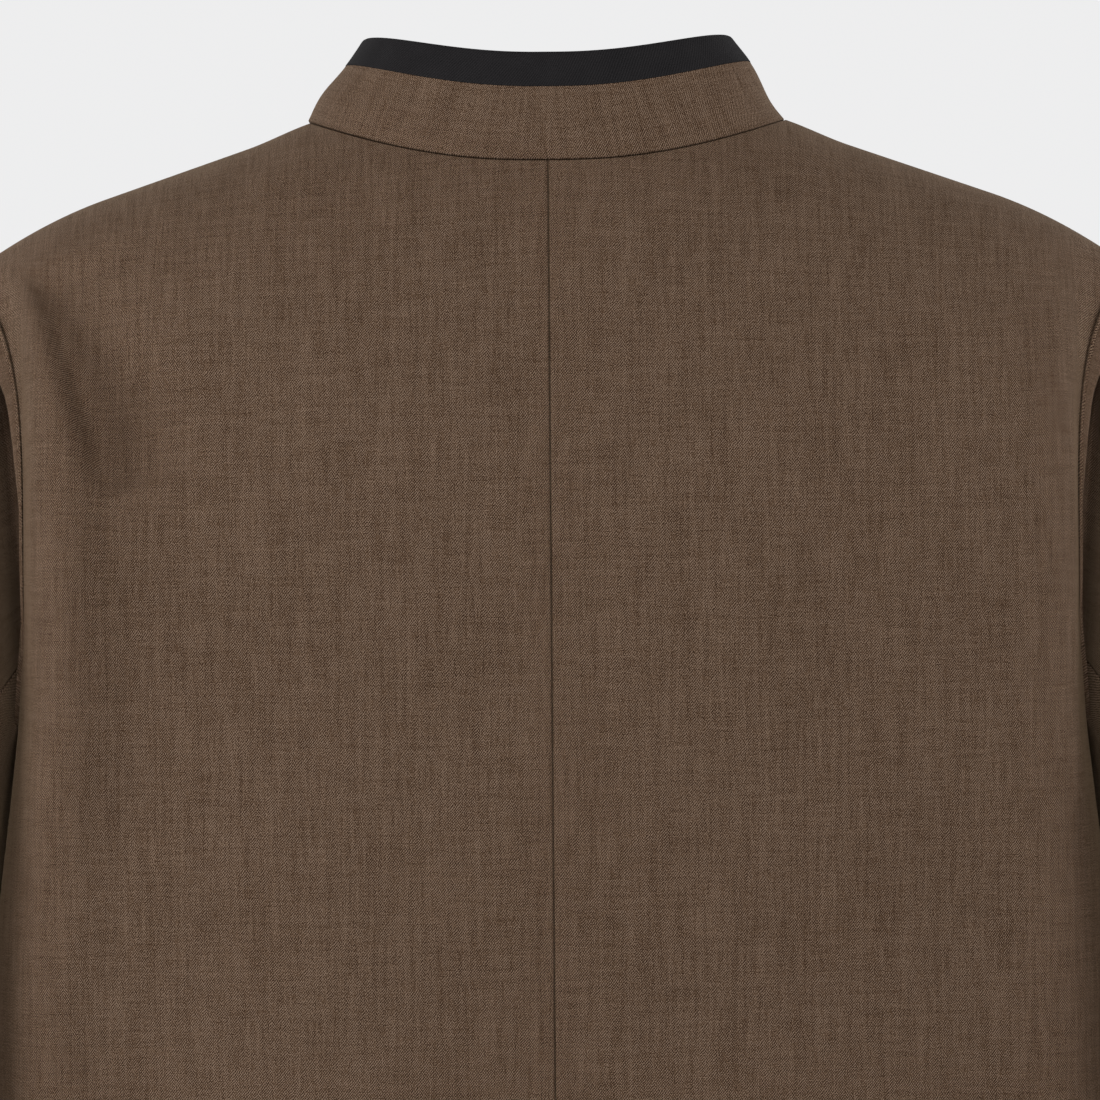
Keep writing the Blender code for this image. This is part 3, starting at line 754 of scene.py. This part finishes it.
def tuck_shift(degrees, run):
    """How far the sleeve is folded in beside the body, at a run of cloth from the armhole seam."""
    total = np.zeros_like(run)
    table = np.array(LIPS)
    lip = np.interp(degrees, table[:, 0], table[:, 1])
    for fold in SLEEVE_TUCKS:
        share = smoothstep(degrees, fold.grow, fold.full) * (1.0 - smoothstep(degrees, fold.ease, fold.end))
        back = lip + fold.wall + fold.floor
        profile = smoothstep(run, lip, lip + fold.wall) * (1.0 - smoothstep(run, back, back + fold.rise))
        total += fold.shift_y * share * profile
    return total


def sleeve_surface(degrees):
    """Points of the left sleeve's outer face at the given turns, and their places on the cloth."""
    turns = np.radians(degrees)
    edge = armhole_places(degrees)
    top = np.clip(np.cos(turns), 0.0, 1.0)[:, None]
    low = np.clip(-np.cos(turns), 0.0, 1.0)[:, None]
    leave = top * LEAVE_SHOULDER + (1.0 - top - low) * LEAVE_BLADE + low * LEAVE_UNDERARM
    leave = unit(leave)
    bicep = arm_row(ARM_SECTIONS[0], turns)
    reach = np.linalg.norm(bicep - edge, axis=1, keepdims=True)
    rings = []
    shares = []
    for t in np.linspace(0.0, 1.0, CAP_ROWS + 1) ** CAP_CROWDING:
        ring = smooth_between(t, edge, reach * leave, bicep, reach * HANG)
        ring[:, 1] += tuck_shift(degrees % 360.0, t * reach[:, 0])
        rings.append(ring)
        shares.append(CAP_SHARE * np.interp(t, CAP_STEPS, np.linspace(0.0, 1.0, len(CAP_STEPS))))
    steps = np.linspace(0.0, 1.0, ARM_ROWS + 1)[1:]
    for step in steps:
        height = ARM_SECTIONS[0].height + step * (ARM_SECTIONS[-1].height - ARM_SECTIONS[0].height)
        rings.append(arm_row(smooth_row(ARM_SECTIONS, height), turns))
        shares.append(CAP_SHARE + (1.0 - CAP_SHARE) * step)
    points = np.array(rings)
    run = np.array(shares)[:, None] * np.ones_like(turns)

    girth = ARM_SECTIONS[0].half_depth
    length = SHOULDER_HALF + abs(ARM_SECTIONS[-1].height)
    lines = [
        (
            (radians(f.turn) * girth, f.run * length),
            (radians(f.turn_end) * girth, f.run_end * length),
            f.width,
            SLEEVE_FOLD_INNER,
            f.depth,
        )
        for f in SLEEVE_FOLDS
    ]
    fold = fold_height(lines, (turns % (2 * pi)) * girth + 0 * run, run * length)
    fold *= smoothstep(run, 0.0, FOLD_FADE_CAP) * smoothstep(1.0 - run, 0.0, FOLD_FADE_CUFF)
    points = points + surface_normals(points, 1.0) * fold[..., None]

    down = np.linalg.norm(np.diff(points, axis=0), axis=2).mean(axis=1)
    places = np.zeros(points.shape[:2] + (2,))
    places[..., 0] = turns * (ARM_SECTIONS[0].half_depth + ARM_SECTIONS[0].half_width) / 2
    places[..., 1] = -np.concatenate([[0.0], np.cumsum(down)])[:, None]
    return points, places


def build_sleeves(cloth):
    """Each sleeve has an upper and an under piece, sewn along the hindarm and the forearm."""
    spans = {"upper": (FOREARM_SEAM, 360.0 + HINDARM_SEAM), "under": (HINDARM_SEAM, FOREARM_SEAM)}
    rolls = Edges(SEAM_ROLL, SEAM_ROLL, SEAM_ROLL, HEM_ROLL)
    back_rolls = Edges(0.0, 0.0, 0.0, HEM_ROLL)
    for part, (start, end) in spans.items():
        degrees = np.linspace(start, end, int((end - start) / SLEEVE_STEP) + 1)
        points, places = sleeve_surface(degrees)
        for hand, hand_name in HANDS:
            node = f"sleeve_{part}_{hand_name}"
            piece = cloth_panel(
                f"cloth_{node}", points * (hand, 1.0, 1.0), places * (hand, 1.0),
                hand, CLOTH, rolls, back_rolls, cloth,
            )
            dress(piece, node)


# Collar


def neck_seam():
    """The neck seam from the right end of the collar round the back to its left end."""
    shares = np.linspace(0.0, neck_share(), COLLAR_COLUMNS + 1)
    back = torso_row("back", 1.0, shares)
    front = torso_row("front", 1.0, shares)
    left = np.concatenate([back, front[-2::-1]])
    right = left[:0:-1] * (-1.0, 1.0, 1.0)
    turn = np.linspace(0.0, pi, len(left))
    return np.concatenate([right, left]), np.concatenate([-turn[:0:-1], turn])


def collar_edges():
    """The foot and the top edge of the stand's outer face."""
    base, turn = neck_seam()
    back_share = np.clip(np.cos(turn), 0.0, 1.0)
    front_share = np.clip(-np.cos(turn), 0.0, 1.0)
    side_share = 1.0 - back_share - front_share
    depth = COLLAR_TOP_BACK * back_share - COLLAR_TOP_FRONT * front_share
    rise = (
        COLLAR_RISE_BACK * back_share
        + COLLAR_RISE_SIDE * side_share
        + COLLAR_RISE_FRONT * front_share
    )
    top = np.stack([COLLAR_TOP_HALF * np.sin(turn), depth, base[:, 2] + rise], axis=-1)
    for row in (base, top):
        row[0] += COLLAR_END_GAP * unit(row[1] - row[0])
        row[-1] += COLLAR_END_GAP * unit(row[-2] - row[-1])
    return base, top, np.degrees(turn)


def collar_rows(base, top, turn, shares):
    """Rows of the stand's outer face at the given shares of its rise, with its swellings."""
    shares = np.asarray(shares)[:, None]
    rows = base + (top - base) * shares[..., None]
    out = np.zeros(rows.shape[:2])
    for swell in SWELLINGS:
        off_turn = (turn - swell.turn) / swell.turn_spread
        off_share = (shares - swell.share) / swell.share_spread
        out += swell.out * np.exp(-(off_turn**2) - off_share**2)
    normals = surface_normals(np.stack([base, top]), 1.0)[0]
    return rows + normals * out[..., None]


def collar_places(base, shares, rise):
    """Places on the flat cloth, along the neck seam and up the stand."""
    run = run_along(base)
    run -= run[-1] / 2
    places = np.zeros((len(shares), len(base), 2))
    places[..., 0] = run
    places[..., 1] = np.array(shares)[:, None] * rise
    return places


def build_collar(cloth, binding_cloth):
    """The stand, thinner along its top, and the binding that is folded over the thin part."""
    base, top, turn = collar_edges()
    border = 1.0 - BINDING_SHARE
    foot = np.array(COLLAR_FOOT)
    stand = np.linspace(foot[-1, 0], border, COLLAR_ROWS)
    shares = np.concatenate([foot[:, 0], stand[1:], [border + BINDING_STEP, 1.0]])
    points = collar_rows(base, top, turn, shares)
    places = collar_places(base, shares, COLLAR_RISE_BACK)
    relief = np.zeros(points.shape[:2] + (2,))
    relief[: len(foot), :, 0] = foot[:, 1:]
    relief[-2:] = BINDING_REBATE
    ends = Edges(HEM_ROLL, HEM_ROLL, 0.0, 0.0)
    collar = cloth_panel("cloth_collar", points, places, 1.0, COLLAR_CLOTH, ends, ends, cloth, relief)
    dress(collar, "collar")

    normals = surface_normals(points, 1.0)[-1]
    climb = unit(top - base)
    half = COLLAR_CLOTH / 2
    radius = half + BINDING_PROUD
    band = collar_rows(base, top, turn, np.linspace(border + BINDING_STEP, 1.0, FOLD_STEPS))
    angle = np.linspace(0.0, pi, FOLD_STEPS)[1:-1, None, None]
    over = band[-1] - normals * (half - radius * np.cos(angle)) + climb * radius * np.sin(angle)
    fold = np.concatenate([
        band + normals * BINDING_PROUD,
        over,
        band[::-1] - normals * (COLLAR_CLOTH + BINDING_PROUD),
    ])
    steps = np.linalg.norm(np.diff(fold, axis=0), axis=2).mean(axis=1)
    run = np.concatenate([[0.0], np.cumsum(steps)])
    places = collar_places(base, run, 1.0)
    rolls = Edges(HEM_ROLL / 2, HEM_ROLL / 2, HEM_ROLL / 2, HEM_ROLL / 2)
    plain = Edges(0.0, 0.0, 0.0, 0.0)
    binding = cloth_panel(
        "cloth_collar_binding", fold, places, 1.0, BINDING_CLOTH, rolls, plain, binding_cloth
    )
    dress(binding, "collar_binding")


# Buttons


def ring_faces(rows, columns, closed=False):
    """Faces over rows of points that each run round a ring. A closed form's last row meets its first."""
    index = np.arange(rows * columns).reshape(rows, columns)
    here = index if closed else index[:-1]
    beyond = np.roll(index, -1, axis=0) if closed else index[1:]
    corners = [here, beyond, np.roll(beyond, -1, axis=1), np.roll(here, -1, axis=1)]
    return np.stack(corners, axis=-1).reshape(-1, 4)


def button_frame(height):
    """Place of a button on the centre front, and its axes: across, up and out."""
    stations = np.linspace(-1.0, 1.0, RING_SAMPLES)
    line = np.array([torso_row("front", v, np.array([0.0]))[0] for v in stations])
    slope = np.gradient(line, axis=0)
    place = np.array([np.interp(height, line[:, 2], line[:, k]) for k in range(3)])
    along = np.array([np.interp(height, line[:, 2], slope[:, k]) for k in range(3)])
    out = unit(np.array([0.0, -along[2], along[1]]))
    across = np.array([1.0, 0.0, 0.0])
    return place, np.stack([across, np.cross(out, across), out])


def front_cloth(across, heights):
    """Points of the left front's outer face at places across it and heights."""
    u = np.linspace(-OVERLAP_SEARCH, OVERLAP_SEARCH, FRONT_COLUMNS)
    stations = np.linspace(-1.0, FRONT_TOP, RING_SAMPLES)
    rows = np.array([torso_row("front", v, u) for v in stations])
    points = []
    for x, z in zip(across, heights):
        depth = [np.interp(x, row[:, 0], row[:, 1]) for row in rows]
        climb = [np.interp(x, row[:, 0], row[:, 2]) for row in rows]
        points.append((x, np.interp(z, climb, depth), z))
    return np.array(points)


def button_form():
    """Points of a round button with a raised rim and four sunk holes, ring by ring."""
    dish = BUTTON_OUTLINE[0]
    radii = np.linspace(BUTTON_MIDDLE, dish.radius, BUTTON_RINGS)[:-1]
    outline = np.array([(radius, dish.height) for radius in radii] + list(BUTTON_OUTLINE))
    turn = np.linspace(0.0, 2 * pi, BUTTON_STEPS, endpoint=False)
    x = outline[:, :1] * np.cos(turn)
    y = outline[:, :1] * np.sin(turn)
    z = outline[:, 1:] + 0.0 * x
    off = np.hypot(np.abs(x) - HOLE_PLACE, np.abs(y) - HOLE_PLACE)
    sunk = 1.0 - smoothstep(off, HOLE_RADIUS - HOLE_SOFT, HOLE_RADIUS + HOLE_SOFT)
    sunk[BUTTON_RINGS:] = 0.0
    return np.stack([x, y, z + BUTTON_LIFT - HOLE_DEPTH * sunk], axis=-1)


def thread_tube(path, side, width, height, closed):
    """Points round a thread along a path, with an oval section, and their places on it."""
    ahead = np.roll(path, -1, axis=0) - np.roll(path, 1, axis=0) if closed else np.gradient(path, axis=0)
    lift = unit(np.cross(side, ahead))
    turn = np.linspace(0.0, 2 * pi, THREAD_SIDES, endpoint=False)[:, None]
    points = path[:, None] + width * np.cos(turn) * side[:, None] + height * np.sin(turn) * lift[:, None]
    run = run_along(path)
    places = np.stack(np.broadcast_arrays(run[:, None], turn[:, 0] * width), axis=-1)
    return points, places


def join_forms(forms):
    """One list of points, faces and places out of several (points, places, closed) forms."""
    verts, faces, spots = [], [], []
    count = 0
    for points, places, closed in forms:
        rows, columns = points.shape[:2]
        verts.append(points.reshape(-1, 3))
        spots.append(places.reshape(-1, 2))
        faces.append(ring_faces(rows, columns, closed) + count)
        count += rows * columns
    return np.concatenate(verts), np.concatenate(faces), np.concatenate(spots)


def button_thread():
    """Two bars of three strands, each from one hole over the dish into the next."""
    dish = BUTTON_OUTLINE[0].height + BUTTON_LIFT
    angle = np.linspace(pi, 0.0, STRAND_STEPS)
    dive = HOLE_DEPTH * np.abs(np.cos(angle)) ** STRAND_DIVE
    rise = THREAD_RISE * np.sin(angle) ** STRAND_ROUND - dive
    forms = []
    for row in (-HOLE_PLACE, HOLE_PLACE):
        for strand in STRANDS:
            path = np.stack([HOLE_PLACE * np.cos(angle), row + strand + 0.0 * angle, dish + rise], axis=-1)
            side = np.broadcast_to((0.0, 1.0, 0.0), path.shape)
            forms.append((*thread_tube(path, side, THREAD, THREAD, False), False))
    return forms


def buttonhole(height, out):
    """The sewn edge round a buttonhole, which lies on the cloth."""
    run = np.linspace(0.0, 1.0, BUTTONHOLE_STEPS)
    angle = np.linspace(pi / 2, -pi / 2, BUTTONHOLE_STEPS)[1:-1]
    straight = np.ones(BUTTONHOLE_STEPS)
    span = BUTTONHOLE[1] - BUTTONHOLE[0]
    x = np.concatenate([
        BUTTONHOLE[0] + span * run,
        BUTTONHOLE[1] + BUTTONHOLE_HALF * np.cos(angle),
        BUTTONHOLE[1] - span * run,
        BUTTONHOLE[0] - BUTTONHOLE_HALF * np.cos(angle),
    ])
    rise = np.concatenate([straight, np.sin(angle), -straight, -np.sin(angle)])
    path = front_cloth(x, height + BUTTONHOLE_HALF * rise) + out * EDGE_LEVEL
    ahead = np.roll(path, -1, axis=0) - np.roll(path, 1, axis=0)
    side = unit(np.cross(ahead, out))
    return [(*thread_tube(path, side, EDGE_THREAD, EDGE_RISE, True), True)]


def build_buttons(horn_finish, thread_finish):
    """Each button with its turned form, its thread and its buttonhole."""
    form = button_form()
    flat = np.eye(3)
    for index in range(BUTTON_COUNT):
        height = BUTTON_TOP - index * BUTTON_PITCH
        place, axes = button_frame(height)
        name = f"button_{index + 1}"
        for piece_name, forms, at, turn, finish, slot in (
            (f"turned_{name}", [(form, form[..., :2], False)], place, axes, horn_finish, "button"),
            (f"thread_{name}", button_thread(), place, axes, thread_finish, "cloth"),
            (f"buttonhole_{index + 1}", buttonhole(height, axes[2]), 0.0, flat, thread_finish, "cloth"),
        ):
            verts, faces, spots = join_forms(forms)
            piece = cloth_object(piece_name, at + verts @ turn, faces, spots, finish)
            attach(piece, "root")
            if slot == "button":
                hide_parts(name)


# Materials


def set_inputs(tree, made, links):
    """Fills inputs of a shader node: sockets are joined, other values are set."""
    for key, value in links.items():
        if isinstance(value, bpy.types.NodeSocket):
            tree.links.new(value, made.inputs[key])
        else:
            made.inputs[key].default_value = value


def node(tree, kind, links=None, **settings):
    """Adds a shader node with its settings and inputs."""
    made = tree.nodes.new(kind)
    for key, value in settings.items():
        setattr(made, key, value)
    set_inputs(tree, made, links or {})
    return made


def math(tree, operation, first, second=0.0):
    return node(tree, "ShaderNodeMath", {0: first, 1: second}, operation=operation).outputs[0]


def drawn_noise(tree, place, scale, detail, dimensions):
    """Noise that is drawn out by a scale on each axis."""
    scaled = node(tree, "ShaderNodeVectorMath", {0: place, 1: scale}, operation="MULTIPLY").outputs[0]
    links = {"Vector": scaled, "Scale": 1.0, "Detail": detail}
    return node(tree, "ShaderNodeTexNoise", links, noise_dimensions=dimensions).outputs[0]


def streaks(tree, place, streak):
    """Noise drawn out along the cloth, about zero."""
    scale = (streak.across, streak.along, 1.0)
    return math(tree, "SUBTRACT", drawn_noise(tree, place, scale, streak.detail, "2D"), MIDDLE_TONE)


def diagonal(tree, place, rib, wander):
    """Fine diagonal lines of a twill: a wave from -1 to 1 across lines that lean by an angle."""
    turn = radians(rib.lean)
    pace = 2 * pi / rib.pitch
    along = node(
        tree, "ShaderNodeVectorMath",
        {0: place, 1: (pace * sin(turn), pace * cos(turn), 0.0)}, operation="DOT_PRODUCT",
    ).outputs["Value"]
    return math(tree, "SINE", math(tree, "ADD", along, wander))


def shader_of(name):
    material = bpy.data.materials.new(name)
    material.use_nodes = True
    tree = material.node_tree
    return material, tree, tree.nodes["Principled BSDF"]


def blend(tree, start, parts):
    """A starting value with several patterns added to it, each by its share."""
    total = start
    for part, share in parts:
        total = math(tree, "ADD", math(tree, "MULTIPLY", part, share), total)
    return total


def shaded(tree, tone, shades):
    """The colour that belongs to a tone."""
    made = node(tree, "ShaderNodeValToRGB", {"Fac": tone})
    elements = made.color_ramp.elements
    for shade in shades[1:-1]:
        elements.new(shade.tone)
    for element, shade in zip(elements, shades):
        element.position = shade.tone
        element.color = shade.colour
    return made.outputs["Color"]


def raised(tree, height, strength, distance):
    """Normals of a surface that is raised by a pattern."""
    links = {"Height": height, "Strength": strength, "Distance": distance}
    return node(tree, "ShaderNodeBump", links).outputs[0]


def roughness(tree, tone, dark, light):
    """Roughness that goes from one value to another with the tone."""
    links = {"Value": tone, "To Min": dark, "To Max": light}
    return node(tree, "ShaderNodeMapRange", links).outputs[0]


def brown_twill():
    """Fine wool twill in mixed brown yarns: flecks, faint warp and weft streaks and crossing ribs."""
    material, tree, shader = shader_of("brown_twill")
    place = node(tree, "ShaderNodeUVMap", uv_map="Cloth").outputs[0]
    patch = streaks(tree, place, BROWN_PATCH)
    wander = math(tree, "MULTIPLY", patch, BROWN_WANDER)
    uneven = math(tree, "ADD", math(tree, "MULTIPLY", patch, BROWN_PATCH.share), MIDDLE_TONE)
    parts = [(streaks(tree, place, streak), streak.share) for streak in BROWN_STREAKS]
    for rib in BROWN_RIBS:
        wave = math(tree, "MULTIPLY", diagonal(tree, place, rib, wander), uneven)
        parts.append((wave, rib.share))
    tone = blend(tree, MIDDLE_TONE, parts)
    set_inputs(tree, shader, {
        "Base Color": shaded(tree, tone, BROWN_SHADES),
        "Normal": raised(tree, tone, strength=0.2, distance=0.0002),
        "Roughness": roughness(tree, tone, dark=0.95, light=0.85),
        "Specular IOR Level": 0.12,
        "Sheen Weight": 0.13,
        "Sheen Roughness": 0.4,
        "Sheen Tint": SHEEN_TINT,
    })
    return material


def black_twill():
    """Matt black binding with a fine slanting rib."""
    material, tree, shader = shader_of("black_twill")
    place = node(tree, "ShaderNodeUVMap", uv_map="Cloth").outputs[0]
    speck = streaks(tree, place, BLACK_SPECK)
    patch = streaks(tree, place, BLACK_PATCH)
    rib = diagonal(tree, place, BLACK_RIB, math(tree, "MULTIPLY", patch, BLACK_WANDER))
    parts = ((rib, BLACK_RIB.share), (speck, BLACK_SPECK.share), (patch, BLACK_PATCH.share))
    tone = blend(tree, BLACK_START, parts)
    set_inputs(tree, shader, {
        "Base Color": shaded(tree, tone, BLACK_SHADES),
        "Normal": raised(tree, tone, strength=0.3, distance=0.0003),
        "Roughness": 0.9,
        "Specular IOR Level": 0.12,
    })
    return material


def horn():
    """Polished dark horn with drawn-out streaks."""
    material, tree, shader = shader_of("horn")
    place = node(tree, "ShaderNodeTexCoord").outputs["Object"]
    noise = drawn_noise(tree, place, HORN_STRETCH, HORN_DETAIL, "3D")
    set_inputs(tree, shader, {
        "Base Color": shaded(tree, noise, HORN_SHADES),
        "Roughness": roughness(tree, noise, dark=0.28, light=0.42),
    })
    return material


def thread():
    """Brown sewing thread, laid closely side by side."""
    material, tree, shader = shader_of("thread")
    place = node(tree, "ShaderNodeUVMap", uv_map="Cloth").outputs[0]
    lay = diagonal(tree, place, THREAD_LAY, 0.0)
    fleck = streaks(tree, place, THREAD_FLECK)
    tone = blend(tree, MIDDLE_TONE, ((lay, THREAD_LAY.share), (fleck, THREAD_FLECK.share)))
    set_inputs(tree, shader, {
        "Base Color": shaded(tree, tone, THREAD_SHADES),
        "Normal": raised(tree, lay, strength=0.5, distance=0.0001),
        "Roughness": 0.65,
    })
    return material


# Studio


def build_camera():
    """The photograph's view: level, from behind, and turned a little about its own axis."""
    camera = bpy.data.cameras.new("camera")
    camera.sensor_width = SENSOR
    camera.lens = SENSOR * (CAMERA_PLACE[1] - VIEW_PLANE) / VIEW_WIDTH
    camera.clip_end = CAMERA_REACH
    holder = bpy.data.objects.new("camera", camera)
    aim = Vector((0.0, -1.0, 0.0)).to_track_quat("-Z", "Y").to_matrix()
    turn = aim @ Matrix.Rotation(radians(CAMERA_ROLL), 3, "Z")
    holder.matrix_world = Matrix.Translation(CAMERA_PLACE) @ turn.to_4x4()
    bpy.context.scene.collection.objects.link(holder)
    bpy.context.scene.camera = holder


def build_lights():
    """Soft boxes, all aimed at one place in the body."""
    for box in SOFT_BOXES:
        light = bpy.data.lights.new(box.name, "AREA")
        light.shape = "RECTANGLE"
        light.size = box.width
        light.size_y = box.height
        light.energy = box.watts
        holder = bpy.data.objects.new(box.name, light)
        azimuth = radians(box.azimuth)
        elevation = radians(box.elevation)
        level = cos(elevation)
        away = Vector((sin(azimuth) * level, -cos(azimuth) * level, sin(elevation)))
        holder.location = Vector(LIGHT_AIM) + away * box.distance
        holder.rotation_euler = away.to_track_quat("Z", "Y").to_euler()
        bpy.context.scene.collection.objects.link(holder)


def build_world():
    """A pale backdrop, with a dimmer light from all round."""
    world = bpy.data.worlds.new("studio")
    bpy.context.scene.world = world
    world.use_nodes = True
    tree = world.node_tree
    tree.nodes.clear()
    backdrop = node(tree, "ShaderNodeBackground", {"Color": BACKDROP})
    ambient = node(tree, "ShaderNodeBackground", {"Color": AMBIENT, "Strength": AMBIENT_STRENGTH})
    seen = node(tree, "ShaderNodeLightPath").outputs["Is Camera Ray"]
    mixed = node(
        tree, "ShaderNodeMixShader",
        {0: seen, 1: ambient.outputs[0], 2: backdrop.outputs[0]},
    )
    node(tree, "ShaderNodeOutputWorld", {"Surface": mixed.outputs[0]})


def build_floor():
    """A plain floor just below the hem."""
    mesh = bpy.data.meshes.new("floor")
    half = FLOOR_SIZE / 2
    level = HEM - FLOOR_GAP
    corners = [(-half, -half, level), (half, -half, level), (half, half, level), (-half, half, level)]
    mesh.from_pydata(corners, [], [(0, 1, 2, 3)])
    material, tree, shader = shader_of("floor")
    set_inputs(tree, shader, {"Base Color": FLOOR_COLOUR, "Roughness": FLOOR_ROUGHNESS})
    mesh.materials.append(material)
    floor = bpy.data.objects.new("floor", mesh)
    bpy.context.scene.collection.objects.link(floor)


def main():
    bpy.context.scene.view_settings.view_transform = "Standard"
    build_camera()
    build_world()
    build_lights()
    build_floor()
    brown = brown_twill()
    build_torso(brown)
    build_sleeves(brown)
    build_collar(brown, black_twill())
    build_buttons(horn(), thread())


main()
